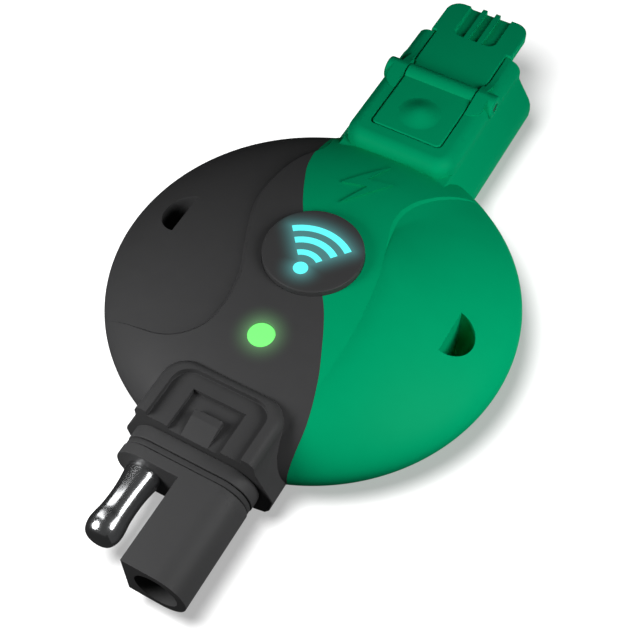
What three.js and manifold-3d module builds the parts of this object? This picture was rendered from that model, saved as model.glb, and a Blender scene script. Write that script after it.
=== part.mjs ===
// In-line battery charge pod: a lens-shaped two-tone case with a two-pole plug at one end
// and a two-pole socket with a rocker latch at the other.
// Millimetres. Origin at the centre of the flat base, +Y towards the latch, +Z up.

import * as THREE from 'three';
import { mergeVertices } from 'three/addons/utils/BufferGeometryUtils.js';
import Module from 'manifold-3d';

const wasm = await Module();
wasm.setup();

// ---------------------------------------------------------------- driving dimensions

const CASE = { r: 28.6, mid: 9, rise: 9, lobeRise: 8.2, drop: 10.5 };
const CAVITY = { r: 26.6, rise: 6.3, drop: 8.3 };
const CASE_STEPS = 48;
const RIM_RINGS = 6;
const DOME_RINGS = 9;
const GAP = 0.3;
const FAR = 60;

const HOOD = { face: -29.6, back: -16, shoulder: 13.6, width: 8.65, frameBack: -20, corner: 3.5 };
const BLOCK = { face: 48.6, near: 23.2, width: 8.9, corner: 3 };
const POLE = { x: 4.9, z: 9, tail: 1.2, tailHole: 1.5, sleeveOuter: 2.8, sleeveInner: 2.4, bore: 3.05 };
const COLLAR = { width: 9.13, r: 4.05, end: -34.1, groove: [-32.6, -31.4] };
const SHROUD = { flat: 0.5, plugEnd: -46.4, plugMouth: -40.5, socketEnd: 43.8, socketMouth: 38 };
const WALL = { width: 8.3, r: 3.8 };
const SOCKET = { width: 9.4, r: 4.35, floor: 31 };

const LATCH = { y: 38.7, z: 15.4, r: 1.75, pin: 0.6, near: 26.7, width: 5.45, top: 16.45 };
const TONGUE = { width: 5.8, start: 41, top: 16, under: 14.4 };
const THUMB_Y = 31.3;
const PADDLE = { start: 49, end: 56.7, width: 6.7, corner: 2.3 };
const WELL = { floor: 13.95, pocket: 12.9, pocketEnd: 29, near: 26.4 };

const BUTTON = { x: -0.2, y: 0.4, r: 6.82, top: 18.7, flange: 8.4, hollow: 5.9 };
const ICON = { y: -3.35, dot: 1, arcs: [[2.15, 3.05], [4.2, 5.2], [6.2, 7.2]], half: 39, top: 18.5 };
const LENS = { y: -13.35, r: 1.8 };
const LASHING = { x: 20.3, r: 3.4, wall: 1.4 };

const BOARD = { bottom: 7, top: 8.6, x: 16, y: 22, corner: 8 };
const SCREW = { ring: 12.2, angles: [165, 240, 345, 60], post: 2.6, clear: 1.25 };
const BASE = { r: 17.4, thick: 1.5, flange: 15.6 };

// ---------------------------------------------------------------- materials

const finish = (color, roughness, metalness = 0) =>
  new THREE.MeshStandardMaterial({ color, roughness, metalness });
const GREY = finish(0x2b2b2c, 0.55);
const GREEN = finish(0x00804f, 0.5);
const CHROME = finish(0xd9dcde, 0.12, 1);
const STEEL = finish(0xa9adb0, 0.35, 1);
const COPPER = finish(0xb87333, 0.35, 1);
const RUBBER = finish(0x141414, 0.85);
const BOARD_GREEN = finish(0x0f4d2b, 0.5);
const CHIP = finish(0x17181a, 0.45);
const CAN = finish(0xb6b9bc, 0.3, 0.8);
const CREAM = finish(0xe8e2cf, 0.5);
const ICON_CYAN = finish(0x66ffff, 0.3);
const LENS_GREEN = finish(0x85ff85, 0.25);

// ---------------------------------------------------------------- shape tools

function signedVolume(points, faces) {
  const [a, b, c] = [new THREE.Vector3(), new THREE.Vector3(), new THREE.Vector3()];
  let sum = 0;
  for (let i = 0; i < faces.length; i += 3) {
    a.fromArray(points, 3 * faces[i]);
    b.fromArray(points, 3 * faces[i + 1]);
    c.fromArray(points, 3 * faces[i + 2]);
    sum += a.dot(b.cross(c));
  }
  return sum;
}

// A closed three.js geometry as a solid that can be joined and cut.
function solid(geometry) {
  for (const name of ['normal', 'uv']) geometry.deleteAttribute(name);
  const merged = mergeVertices(geometry, 1e-4);
  const points = merged.attributes.position.array;
  const faces = [];
  for (let i = 0; i < merged.index.count; i += 3) {
    const [a, b, c] = [0, 1, 2].map((k) => merged.index.getX(i + k));
    if (a !== b && b !== c && c !== a) faces.push(a, b, c);
  }
  if (signedVolume(points, faces) < 0) faces.reverse();
  const mesh = new wasm.Mesh({
    numProp: 3,
    vertProperties: Float32Array.from(points),
    triVerts: Uint32Array.from(faces),
  });
  return new wasm.Manifold(mesh);
}

const join = (...solids) => solids.reduce((all, next) => all.add(next));
const cut = (body, ...tools) => tools.reduce((rest, tool) => rest.subtract(tool), body);

// Closed outline from corner points.
const outline = (points) => new THREE.Shape(points.map(([x, y]) => new THREE.Vector2(x, y)));

// Outline given on the +X side only, mirrored to the -X side.
const mirrored = (half) => outline([...half, ...half.map(([x, y]) => [-x, y]).reverse()]);

// Turns an extrusion's own X, Y and Z onto three chosen directions.
function extruded(shape, length, x, y, z, steps = 5) {
  const geometry = new THREE.ExtrudeGeometry(shape, {
    depth: length, bevelEnabled: false, curveSegments: steps,
  });
  const basis = new THREE.Matrix4().makeBasis(
    new THREE.Vector3(...x), new THREE.Vector3(...y), new THREE.Vector3(...z));
  return solid(geometry.applyMatrix4(basis));
}

// Outlines in XY, XZ and YZ, extruded along the axis that is left.
const alongZ = (shape, z0, z1, steps) =>
  extruded(shape, z1 - z0, [1, 0, 0], [0, 1, 0], [0, 0, 1], steps).translate([0, 0, z0]);
const alongY = (shape, y0, y1, steps) =>
  extruded(shape, y1 - y0, [1, 0, 0], [0, 0, 1], [0, -1, 0], steps).translate([0, y1, 0]);
const alongX = (shape, x0, x1, steps) =>
  extruded(shape, x1 - x0, [0, 1, 0], [0, 0, 1], [1, 0, 0], steps).translate([x0, 0, 0]);

const profilePoints = (profile) => profile.map(([r, h]) => new THREE.Vector2(r, h));

// Turned shapes: profile of [radius, height] about Z, or [radius, y] about Y.
function turnedZ(profile, steps = 18) {
  const geometry = new THREE.LatheGeometry(profilePoints(profile), steps);
  return solid(geometry.rotateX(Math.PI / 2));
}
const turnedY = (profile, steps = 16) =>
  solid(new THREE.LatheGeometry(profilePoints(profile), steps));

const disc = (r, z0, z1, steps) => turnedZ([[0, z0], [r, z0], [r, z1], [0, z1]], steps);
const rod = (r, y0, y1, steps) => turnedY([[0, y0], [r, y0], [r, y1], [0, y1]], steps);
const ring = (inner, outer, z0, z1, steps) =>
  turnedZ([[inner, z0], [outer, z0], [outer, z1], [inner, z1], [inner, z0]], steps);

function circle(x, y, r) {
  return new THREE.Shape().absarc(x, y, r, 0, 2 * Math.PI, false);
}

function roundedRect(x0, y0, x1, y1, r) {
  const shape = new THREE.Shape();
  shape.absarc(x1 - r, y0 + r, r, -Math.PI / 2, 0, false);
  shape.absarc(x1 - r, y1 - r, r, 0, Math.PI / 2, false);
  shape.absarc(x0 + r, y1 - r, r, Math.PI / 2, Math.PI, false);
  shape.absarc(x0 + r, y0 + r, r, Math.PI, 1.5 * Math.PI, false);
  return shape;
}

const box = (x0, y0, x1, y1, z0, z1) =>
  alongZ(outline([[x0, y0], [x1, y0], [x1, y1], [x0, y1]]), z0, z1);

// Stadium section across the Y axis: flat top and bottom, round ends.
const stadium = (width, r, z = POLE.z) => roundedRect(-width, z - r, width, z + r, r - 0.001);

// Smooth line through points, as a list of [x, y].
function smoothLine(points, steps = 26) {
  const curve = new THREE.SplineCurve(points.map(([x, y]) => new THREE.Vector2(x, y)));
  return curve.getPoints(steps).map((p) => [p.x, p.y]);
}

const group = new THREE.Group();

function place(name, body, material, x = 0, y = 0, z = 0) {
  const { vertProperties, triVerts } = body.getMesh();
  const geometry = new THREE.BufferGeometry();
  geometry.setAttribute('position', new THREE.BufferAttribute(vertProperties, 3));
  geometry.setIndex(new THREE.BufferAttribute(triVerts, 1));
  const mesh = new THREE.Mesh(geometry, material);
  mesh.name = name;
  mesh.position.set(x, y, z);
  group.add(mesh);
}

// ---------------------------------------------------------------- case form

// Lens form about Z: two half ellipsoids meeting at the rim, cut flat below z = floor.
function lens(r, rise, drop, floor, steps = CASE_STEPS) {
  const profile = [];
  const start = Math.asin(Math.min(1, (CASE.mid - floor) / drop));
  for (let i = 0; i <= RIM_RINGS; i++) {
    const angle = start * (1 - i / RIM_RINGS);
    profile.push([r * Math.cos(angle), CASE.mid - drop * Math.sin(angle)]);
  }
  for (let i = 1; i <= DOME_RINGS; i++) {
    const angle = (Math.PI / 2) * (i / DOME_RINGS);
    profile.push([i === DOME_RINGS ? 0 : r * Math.cos(angle), CASE.mid + rise * Math.sin(angle)]);
  }
  return turnedZ([[0, profile[0][1]], ...profile], steps);
}

// The two lowered lobes: everything outside these S-shaped step lines.
const GREY_STEP = [
  [-10.3, 32], [-10, 25], [-9.5, 20.6], [-11.5, 15.5], [-12.15, 9.2], [-11.5, 4.5], [-9, -1.8],
  [-7.2, -6], [-6.5, -11], [-7.6, -15.6], [-12, -18.5], [-20.3, -18.4], [-31, -17.6],
];
const GREEN_STEP = [
  [20, 30], [13.5, 24.4], [9.4, 20.2], [6.7, 15.6], [6.2, 11], [8, 5], [9.3, 0],
  [10.15, -7.6], [9.8, -16.2], [8.9, -21.6], [8.4, -31],
];

function lobes() {
  const left = [...smoothLine(GREY_STEP), [-FAR, -17.6], [-FAR, 32]];
  const right = [...smoothLine(GREEN_STEP), [FAR, -31], [FAR, 30]];
  return join(alongZ(outline(left), -5, 30), alongZ(outline(right), -5, 30));
}

// Line where the two case colours meet, from the latch end to the plug end.
const SPLIT = [
  [-11.5, 34], [-11.45, 27], [-10.6, 24], [-10.35, 20], [-9.75, 16.4], [-8.6, 13], [-5.1, 6.3],
  [0, 0], [5, -6.1], [8.4, -12.9], [9.75, -16.5], [10.7, -20], [11.05, -23.5], [11.15, -34],
];

// Everything on one side of the colour line, kept half a gap away from it.
function colourSide(sign) {
  const line = smoothLine(SPLIT, 32).map(([x, y]) => [x + sign * GAP * 0.6, y]);
  const ends = [[line.at(-1)[0], -FAR], [sign * FAR, -FAR], [sign * FAR, FAR], [line[0][0], FAR]];
  return alongZ(outline([...line, ...ends]), -5, 30);
}

const BOLT = [[1.23, 21.73], [-3.44, 13.81], [0.17, 14.91], [-1.66, 9.75], [3.13, 17.49], [-0.43, 16.46]];

// Half sections (x, z) of the plug hood and of the socket block.
const HOOD_SECTION = [
  [6.78, 15.93], [8.32, 14.93], [8.63, HOOD.shoulder], [9.31, 11.92], [10.73, 8.92], [10.93, 8.22],
  [10.28, 5.43], [9.68, 4.52], [8.05, 3.95],
];
const BLOCK_SECTION = [
  [6.9, 16.4], [8.1, 15.9], [8.5, 14.9], [8.55, 13.6], [8.9, 12.6], [10.8, 9.63], [11.26, 8.06],
  [11.25, 6.4], [10.5, 4.2], [8.8, 3],
];

// Tongue-shaped plan, open past the end face, with two round corners at the other end.
function bay(width, closed, open, r) {
  const [low, high] = [Math.min(closed, open), Math.max(closed, open)];
  const rounded = alongZ(roundedRect(-width, low, width, high, r), 0, 30);
  const tail = closed < open ? [high - r - 1, high] : [low, low + r + 1];
  return join(rounded, box(-width, tail[0], width, tail[1], 0, 30));
}

// Hood over the plug: a raised frame round a latch recess, on a wider shouldered root.
function hood() {
  const section = alongY(mirrored(HOOD_SECTION), HOOD.face, HOOD.back);
  const root = section.intersect(box(-FAR, -FAR, FAR, 0, 0, HOOD.shoulder));
  const frame = section.intersect(bay(HOOD.width, HOOD.frameBack, HOOD.face, HOOD.corner));
  const recess = bay(6.8, -21.4, HOOD.face - 5, 2.6).intersect(box(-20, -40, 20, 0, 15.07, 20));
  const pocket = box(-3.83, HOOD.face - 1, 3.83, -23.5, 14.25, 20);
  const notch = box(-1.96, HOOD.face - 1, 1.96, -25.9, 13.4, 20);
  const catchSide = outline([[-25.9, 13.3], [-25.9, 15.13], [-26.9, 15.13], [-29.6, 13.7], [-29.6, 13.3]]);
  const wedge = alongX(catchSide, -1.96, 1.96);
  return join(cut(join(root, frame), recess, pocket, notch), wedge);
}

// Block round the socket: heavily rounded at the case end, with ears for the latch pin.
function block() {
  const section = alongY(mirrored(BLOCK_SECTION), BLOCK.near, BLOCK.face);
  const side = outline([
    [BLOCK.near, 2], [BLOCK.near, 13.8], [23.6, 14.9], [24.6, 15.8], [26.2, 16.4], [40.6, 16.4],
    [42.8, 15.8], [BLOCK.face, 15.8], [BLOCK.face, 2],
  ]);
  const upper = bay(BLOCK.width, BLOCK.near, BLOCK.face, BLOCK.corner);
  const lower = box(-FAR, 0, FAR, FAR, 0, 12.6);
  const ears = alongX(circle(LATCH.y, LATCH.z, LATCH.r), -8.7, 8.7, 14);
  return join(section.intersect(alongX(side, -20, 20)).intersect(join(upper, lower)), ears);
}

// Room for the latch lever: shallow over the socket, deeper under the thumb pad.
function latchWell() {
  const slotWidth = LATCH.width + GAP;
  const tongueSlot = box(-TONGUE.width - GAP, TONGUE.start - 0.2, TONGUE.width + GAP, FAR, WELL.floor, 30);
  const padSlot = bay(slotWidth, WELL.near, FAR, 1).intersect(box(-20, 0, 20, FAR, WELL.floor, 30));
  const pocket = bay(slotWidth, WELL.near, FAR, 1)
    .intersect(box(-20, 0, 20, WELL.pocketEnd, WELL.pocket, 30));
  return join(tongueSlot, padSlot, pocket, alongX(circle(LATCH.y, LATCH.z, LATCH.pin + GAP), -12, 12, 10));
}

// D-shaped plan of a lashing hole; the flat side faces the middle of the case.
function dShape(side, grow = 0) {
  const shape = new THREE.Shape();
  const flat = side * (LASHING.x - grow);
  const [from, to] = side > 0 ? [-Math.PI / 2, Math.PI / 2] : [Math.PI / 2, 1.5 * Math.PI];
  shape.moveTo(flat, -side * (LASHING.r + grow));
  shape.absarc(side * LASHING.x, 0, LASHING.r + grow, from, to, false);
  shape.lineTo(flat, side * (LASHING.r + grow));
  return shape;
}

const screwSpots = SCREW.angles.map((degrees) => {
  const angle = THREE.MathUtils.degToRad(degrees);
  return [SCREW.ring * Math.cos(angle), SCREW.ring * Math.sin(angle)];
});

// Hollow of the case, less the parts moulded inside it.
function caseHollow() {
  const room = lens(CAVITY.r, CAVITY.rise, CAVITY.drop, 2, 32);
  const bosses = screwSpots.map(([x, y]) => cut(
    disc(SCREW.post, BOARD.top + GAP, 16, 12), disc(SCREW.clear, 5, 13.3, 8)).translate([x, y, 0]));
  const tubes = [-1, 1].map((side) => alongZ(dShape(side, LASHING.wall), -5, 30));
  const ledge = ring(BASE.flange, 19.5, 2.9, 4.3, 36);
  const hoodRoom = alongY(stadium(9.3, 4), HOOD.face + 2.3, -17);
  const tailRoom = alongY(stadium(8.6, 3, 8.6), 18, 29.2);
  return join(cut(join(room, hoodRoom, tailRoom), ...bosses, ...tubes, ledge),
    disc(BASE.r + GAP, -5, 2.9, 36));
}

function wholeCase() {
  const low = lens(CASE.r, CASE.lobeRise, CASE.drop, 0);
  const high = cut(lens(CASE.r, CASE.rise, CASE.drop, 0), lobes());
  const bolt = lens(CASE.r, CASE.rise + 0.2, CASE.drop, 0).intersect(alongZ(outline(BOLT), 9, 30));
  const socketRoom = alongY(stadium(SOCKET.width, SOCKET.r), SOCKET.floor, FAR);
  const socketDoor = alongY(stadium(WALL.width, 3.5), 28, 32);
  const plugDoor = alongY(stadium(WALL.width, WALL.r), -32, -27);
  return cut(join(low, high, bolt, hood(), block()), caseHollow(), latchWell(), socketRoom,
    socketDoor, plugDoor, disc(BUTTON.r + GAP, 9, 30, 28).translate([BUTTON.x, BUTTON.y, 0]),
    disc(LENS.r + GAP, 9, 30, 20).translate([0, LENS.y, 0]),
    ...[-1, 1].map((side) => alongZ(dShape(side), -5, 30)));
}

const shell = wholeCase();
place('grey_shell', shell.intersect(colourSide(-1)), GREY);
place('green_shell', shell.intersect(colourSide(1)), GREEN);

// ---------------------------------------------------------------- base

function baseCover() {
  const plate = turnedZ([[0, 0], [14.6, 0], [16.1, 0.35], [BASE.r, 0.72], [BASE.r, BASE.thick],
    [0, BASE.thick]], 36);
  const posts = screwSpots.map(([x, y]) =>
    disc(SCREW.post, 1, BOARD.bottom - GAP, 12).translate([x, y, 0]));
  const holes = screwSpots.map(([x, y]) =>
    join(disc(2.05, -1, 1.1, 12), disc(SCREW.clear, -1, 9, 8)).translate([x, y, 0]));
  return cut(join(plate, ...posts), ...holes);
}

place('base_cover', baseCover(), GREY);
place('base_gasket', ring(15.9, BASE.r, BASE.thick + GAP, 2.6, 36), RUBBER);
screwSpots.forEach(([x, y], i) => {
  const screw = turnedZ([[0, 0.1], [1.75, 0.1], [1.75, 0.5], [0.95, 0.85], [0.95, 12.5], [0, 13]], 8);
  place(`base_screw_${i + 1}`, screw, STEEL, x, y, 0);
});

// ---------------------------------------------------------------- plug

// Rounded D section of the shroud: flat wall by the middle, round outer side.
function dSection(side, width, r) {
  const round = stadium(width, r);
  const edge = side > 0 ? [SHROUD.flat, width + 1] : [-width - 1, -SHROUD.flat];
  return (y0, y1) => alongY(round, y0, y1).intersect(box(edge[0], y0 - 1, edge[1], y1 + 1, 0, 20));
}

const atPole = (side, body) => body.translate([side * POLE.x, 0, POLE.z]);

function plugInsulator() {
  const collar = alongY(stadium(COLLAR.width, COLLAR.r), COLLAR.end, HOOD.face - GAP);
  const groove = cut(alongY(stadium(11, 6), ...COLLAR.groove), alongY(stadium(8.3, 3.4), -33, -31));
  const neck = alongY(stadium(8, 3.5), HOOD.face - 1, -26.5);
  const flange = alongY(stadium(9, 3.7), -27, -25);
  const shroud = dSection(1, COLLAR.width, COLLAR.r)(SHROUD.plugEnd, COLLAR.end + 1);
  const tailHole = rod(POLE.tailHole, -40, -20, 10);
  const sleeveBore = atPole(1, join(rod(POLE.bore, -50, -33.2), tailHole));
  const pinBore = atPole(-1, join(rod(2.8, -50, -33.1), tailHole));
  return cut(join(cut(collar, groove), neck, flange, shroud), sleeveBore, pinBore);
}

const PIN_TIP = [[0, -44.6], [1.2, -44.4], [1.95, -43.8], [2.3, -42.8], [2.3, -41.6], [2.1, -40.6],
  [2.1, -36.4], [2.25, -35.4], [2.5, -34.6], [2.5, -33.4]];
const plugPin = [...PIN_TIP, [POLE.tail, -33.4], [POLE.tail, -24], [0, -24]];
const plugSleeve = [[0, -34.5], [POLE.sleeveInner, -34.5], [POLE.sleeveInner, SHROUD.plugMouth],
  [POLE.sleeveOuter, SHROUD.plugMouth], [POLE.sleeveOuter, -33.5], [POLE.tail, -33.5],
  [POLE.tail, -24], [0, -24]];

place('plug_insulator', plugInsulator(), GREY);
const sealRing = cut(alongY(stadium(8.95, 3.9), -32.3, -31.7), alongY(stadium(8.6, 3.7), -33, -31));
place('plug_o_ring', sealRing, RUBBER);
place('plug_pin', turnedY(plugPin), CHROME, -POLE.x, 0, POLE.z);
place('plug_sleeve', turnedY(plugSleeve), CHROME, POLE.x, 0, POLE.z);

// ---------------------------------------------------------------- socket

function socketInsulator() {
  const flange = alongY(stadium(9, 4), SOCKET.floor + GAP, 32.8);
  const neck = alongY(stadium(8, 3.2), 28.6, 32);
  const shroud = dSection(-1, 8.9, 3.95)(32, SHROUD.socketEnd);
  const tailHole = rod(POLE.tailHole, 20, 40, 10);
  const sleeveBore = atPole(-1, join(rod(POLE.bore, 33.1, 50), tailHole));
  return cut(join(flange, neck, shroud), sleeveBore, atPole(1, tailHole));
}

const socketPin = [[0, 27.6], [POLE.tail, 27.6], [POLE.tail, 33.1], [2.3, 33.1], [2.1, 34.5], [2.1, 39.6],
  [2.3, 40.4], [2.3, 41.2], [1.8, 42.1], [1, 42.5], [0, 42.6]];
const socketSleeve = [[0, 27.6], [POLE.tail, 27.6], [POLE.tail, 33.4], [POLE.sleeveOuter, 33.4],
  [POLE.sleeveOuter, SHROUD.socketMouth], [POLE.sleeveInner, SHROUD.socketMouth],
  [POLE.sleeveInner, 34.4], [0, 34.4]];

place('socket_insulator', socketInsulator(), GREY);
place('socket_pin', turnedY(socketPin), CHROME, POLE.x, 0, POLE.z);
place('socket_sleeve', turnedY(socketSleeve), CHROME, -POLE.x, 0, POLE.z);

// ---------------------------------------------------------------- latch

// Plan of the whole lever: thumb pad, neck, tongue and round-cornered paddle.
function leverPlan() {
  const { width, corner, end, start } = PADDLE;
  const right = [[LATCH.width, TONGUE.start], [TONGUE.width, TONGUE.start + 0.3],
    [TONGUE.width, start - 0.2], [width, start]];
  const shape = new THREE.Shape();
  shape.absarc(LATCH.width - 0.8, LATCH.near + 0.8, 0.8, -Math.PI / 2, 0, false);
  right.forEach(([x, y]) => shape.lineTo(x, y));
  shape.absarc(width - corner, end - corner, corner, 0, Math.PI / 2, false);
  shape.absarc(corner - width, end - corner, corner, Math.PI / 2, Math.PI, false);
  right.reverse().forEach(([x, y]) => shape.lineTo(-x, y));
  shape.absarc(0.8 - LATCH.width, LATCH.near + 0.8, 0.8, Math.PI, 1.5 * Math.PI, false);
  return shape;
}

// Side view of the lever: pad, hinge barrel with a flat underside, and tongue.
function leverSide() {
  const { y, z, r, near, top } = LATCH;
  const [padUnder, flat] = [15.05, 14.25];
  const rise = (height) => Math.asin((height - z) / r);
  const shape = new THREE.Shape();
  shape.moveTo(near - 1, padUnder);
  shape.lineTo(near - 1, top);
  shape.absarc(y, z, r, Math.PI - rise(top), rise(TONGUE.top), true);
  shape.lineTo(FAR, TONGUE.top);
  shape.lineTo(FAR, TONGUE.under);
  shape.lineTo(y + r * Math.cos(rise(TONGUE.under)), TONGUE.under);
  shape.lineTo(y + r * Math.cos(rise(flat)), flat);
  shape.absarc(y, z, r, Math.PI - rise(flat), Math.PI - rise(padUnder), true);
  return shape;
}

function latchLever() {
  const plate = alongX(leverSide(), -10, 10, 8).intersect(alongZ(leverPlan(), 10, 20));
  const hook = alongX(outline([[52.6, 14.6], [52.6, 13.6], [53.2, 13.6], [54.8, 14.6]]), -3, 3);
  const thumbRise = turnedZ([[0, 17.15], [0.8, 17.09], [1.5, 16.91], [2.1, 16.67], [2.7, LATCH.top],
    [2.7, 15.6], [0, 15.6]], 24).translate([0, THUMB_Y, 0]);
  const grooves = [[-0.6, 0.6], [1.68, 3.5], [-3.5, -1.68]].map(([x0, x1]) =>
    alongZ(roundedRect(x0, 49.3, x1, 60, 0.5), TONGUE.top - 0.6, 20, 3));
  const pinHole = alongX(circle(LATCH.y, LATCH.z, LATCH.pin + 0.15), -12, 12, 10);
  return cut(join(plate, hook, thumbRise), ...grooves, pinHole);
}

// Bent leaf that lifts the thumb pad: one leg on the pocket floor, one under the pad.
const LEAF = [
  [27, 13.05], [28.6, 13.05], [28.75, 13.3], [27.1, 14.72], [26.95, 14.52], [28.25, 13.3], [27, 13.3],
];

place('latch_lever', latchLever(), GREEN);
place('latch_pin', alongX(circle(LATCH.y, LATCH.z, LATCH.pin), -8.45, 8.45, 10), STEEL);
place('latch_spring', alongX(outline(LEAF), -2, 2), STEEL);

// ---------------------------------------------------------------- button and lights

// One arc of the fan symbol, widened all round by grow.
function arcShape([inner, outer], grow) {
  const half = THREE.MathUtils.degToRad(ICON.half + (grow * 60) / outer);
  const shape = new THREE.Shape();
  shape.absarc(0, ICON.y, outer + grow, Math.PI / 2 - half, Math.PI / 2 + half, false);
  shape.absarc(0, ICON.y, inner - grow, Math.PI / 2 + half, Math.PI / 2 - half, true);
  return shape;
}

// The fan symbol: a dot and three arcs.
const symbol = (grow, z0, z1) => join(alongZ(circle(0, ICON.y, ICON.dot + grow), z0, z1, 6),
  ...ICON.arcs.map((arc) => alongZ(arcShape(arc, grow), z0, z1, 5)));

function buttonCap() {
  const cap = turnedZ([[0, BUTTON.top], [3.5, 18.66], [5.8, 18.55], [6.5, 18.42], [BUTTON.r, 18.1],
    [BUTTON.r, 13.6], [BUTTON.flange, 13.6], [BUTTON.flange, 12.9], [BUTTON.hollow, 12.9],
    [BUTTON.hollow, 16.2], [0, 16.2]], 28);
  return cut(cap, symbol(GAP, 15, 20));
}

const lightGuide = join(symbol(0, 15.5, ICON.top), disc(5.55, 14.9, 15.9, 24), disc(1.7, 13.4, 15, 16));

const tactSwitch = cut(box(-3, -3, 3, 3, BOARD.top + GAP, 12.2), disc(2, 10.2, 14, 16));
const underButton = (name, body, material) => place(name, body, material, BUTTON.x, BUTTON.y, 0);

underButton('wireless_button', buttonCap(), GREY);
underButton('button_light_guide', lightGuide, ICON_CYAN);
underButton('button_seal', ring(7.25, 8.4, 13.9, 14.7, 28), RUBBER);
underButton('switch_plunger', disc(1.7, 11, 13.1, 16), CREAM);
underButton('tact_switch', tactSwitch, CHIP);
place('status_lens', turnedZ([[0, 17], [1.2, 16.95], [LENS.r, 16.75], [LENS.r, 13.7], [2.4, 13.7],
  [2.4, 13.1], [1.6, 13.1], [1.6, 11], [0, 11]], 20), LENS_GREEN, 0, LENS.y, 0);

// ---------------------------------------------------------------- circuit

// A part with a rectangular or round body standing on the board at (x, y).
function onBoard(name, wide, deep, tall, x, y, material) {
  place(name, box(-wide / 2, -deep / 2, wide / 2, deep / 2, 0, tall), material, x, y, BOARD.top + GAP);
}

const boardHoles = screwSpots.map(([x, y]) => disc(SCREW.clear, 0, 12, 8).translate([x, y, 0]));
const boardPlan = roundedRect(-BOARD.x, -BOARD.y, BOARD.x, BOARD.y, BOARD.corner);
place('circuit_board', cut(alongZ(boardPlan, BOARD.bottom, BOARD.top), ...boardHoles), BOARD_GREEN);

onBoard('status_led', 2, 1.25, 1.1, 0, LENS.y, CREAM);
onBoard('wireless_led_1', 1.6, 0.8, 0.7, 0, 5, CREAM);
onBoard('wireless_led_2', 1.6, 0.8, 0.7, 0, -5, CREAM);
onBoard('wireless_module', 9, 6.8, 2.2, -9.5, -3.9, CAN);
onBoard('controller_chip', 6, 6, 1, 9.5, 3.9, CHIP);
onBoard('power_transistor_1', 5.6, 6, 2.2, -11.7, 12.4, CHIP);
onBoard('power_transistor_2', 5.6, 6, 2.2, -11.7, -15.4, CHIP);
onBoard('inductor', 7, 7, 3, -3, 16.6, CHIP);
[[12.4, 11.4], [10.6, -12.6]].forEach(([x, y], i) => {
  const can = turnedZ([[0, 0], [2.3, 0], [2.3, 3.1], [2.1, 3.3], [0, 3.3]], 20);
  place(`capacitor_${i + 1}`, can, CAN, x, y, BOARD.top + GAP);
});
place('fuse', box(-4.5, -2, 4.5, 2, 3.6, BOARD.bottom - GAP), CREAM, 0, 2, 0);

// Flat bars from the four contact tails to the board.
for (const [end, y0, y1] of [['plug', -23.7, -18.6], ['socket', 20.6, 27.3]]) {
  for (const [pole, side] of [['left', -1], ['right', 1]]) {
    const bar = box(-1.5, y0, 1.5, y1, BOARD.top + GAP, BOARD.top + GAP + 0.8);
    place(`${end}_bus_bar_${pole}`, bar, COPPER, side * POLE.x, 0, 0);
  }
}

export default group;
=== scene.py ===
import math

import bmesh
import bpy
from mathutils import Matrix, Vector
from mathutils.kdtree import KDTree


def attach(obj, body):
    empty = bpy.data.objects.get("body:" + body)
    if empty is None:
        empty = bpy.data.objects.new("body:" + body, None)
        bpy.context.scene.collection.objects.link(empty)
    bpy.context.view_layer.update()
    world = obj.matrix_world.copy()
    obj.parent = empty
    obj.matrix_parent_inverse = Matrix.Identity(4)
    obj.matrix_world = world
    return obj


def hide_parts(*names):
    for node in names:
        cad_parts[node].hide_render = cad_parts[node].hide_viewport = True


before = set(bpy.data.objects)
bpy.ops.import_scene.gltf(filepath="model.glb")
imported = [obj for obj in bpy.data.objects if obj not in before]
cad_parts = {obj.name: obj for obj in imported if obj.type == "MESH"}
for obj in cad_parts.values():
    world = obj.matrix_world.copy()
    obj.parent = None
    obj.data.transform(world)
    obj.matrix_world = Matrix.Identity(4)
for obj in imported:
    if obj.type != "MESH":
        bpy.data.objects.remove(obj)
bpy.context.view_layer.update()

# ---------------------------------------------------------------- case form
# The pod's case is a flat lens, injection moulded in a satin glass-filled plastic. Its top
# has a raised S-shaped band between two lowered lobes. Sizes here are in millimetres.

RADIUS, MID = 28.6, 9.0
RISE, LOBE_RISE, DROP = 9.0, 8.2, 10.5
LONG = 60.0


def turned(profile, steps=96, along="Z"):
    """A closed solid turned from (radius, height) points."""
    bm = bmesh.new()
    verts = [bm.verts.new((r, 0, h)) for r, h in profile]
    edges = [bm.edges.new(pair) for pair in zip(verts, verts[1:])]
    bmesh.ops.spin(bm, geom=verts + edges, cent=(0, 0, 0), axis=(0, 0, 1), angle=math.tau,
                   steps=steps, use_merge=True)
    bmesh.ops.remove_doubles(bm, verts=bm.verts, dist=1e-4)
    if along != "Z":
        turn = {"Y": (-math.pi / 2, 3, "X"), "X": (math.pi / 2, 3, "Y")}[along]
        bmesh.ops.rotate(bm, verts=bm.verts, cent=(0, 0, 0), matrix=Matrix.Rotation(*turn))
    bmesh.ops.recalc_face_normals(bm, faces=bm.faces)
    return bm


def lens(radius, rise, drop, floor, steps, rings):
    """The case's lens form: two half ellipsoids that meet at the rim, with a flat foot."""
    foot = math.asin((MID - floor) / drop)
    under = [foot * (1 - i / rings) for i in range(rings + 1)]
    over = [math.pi / 2 * i / rings for i in range(1, rings)]
    profile = [(radius * math.cos(a), MID - drop * math.sin(a)) for a in under]
    profile += [(radius * math.cos(a), MID + rise * math.sin(a)) for a in over]
    return turned([(0, floor), *profile, (0, MID + rise)], steps)


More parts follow.
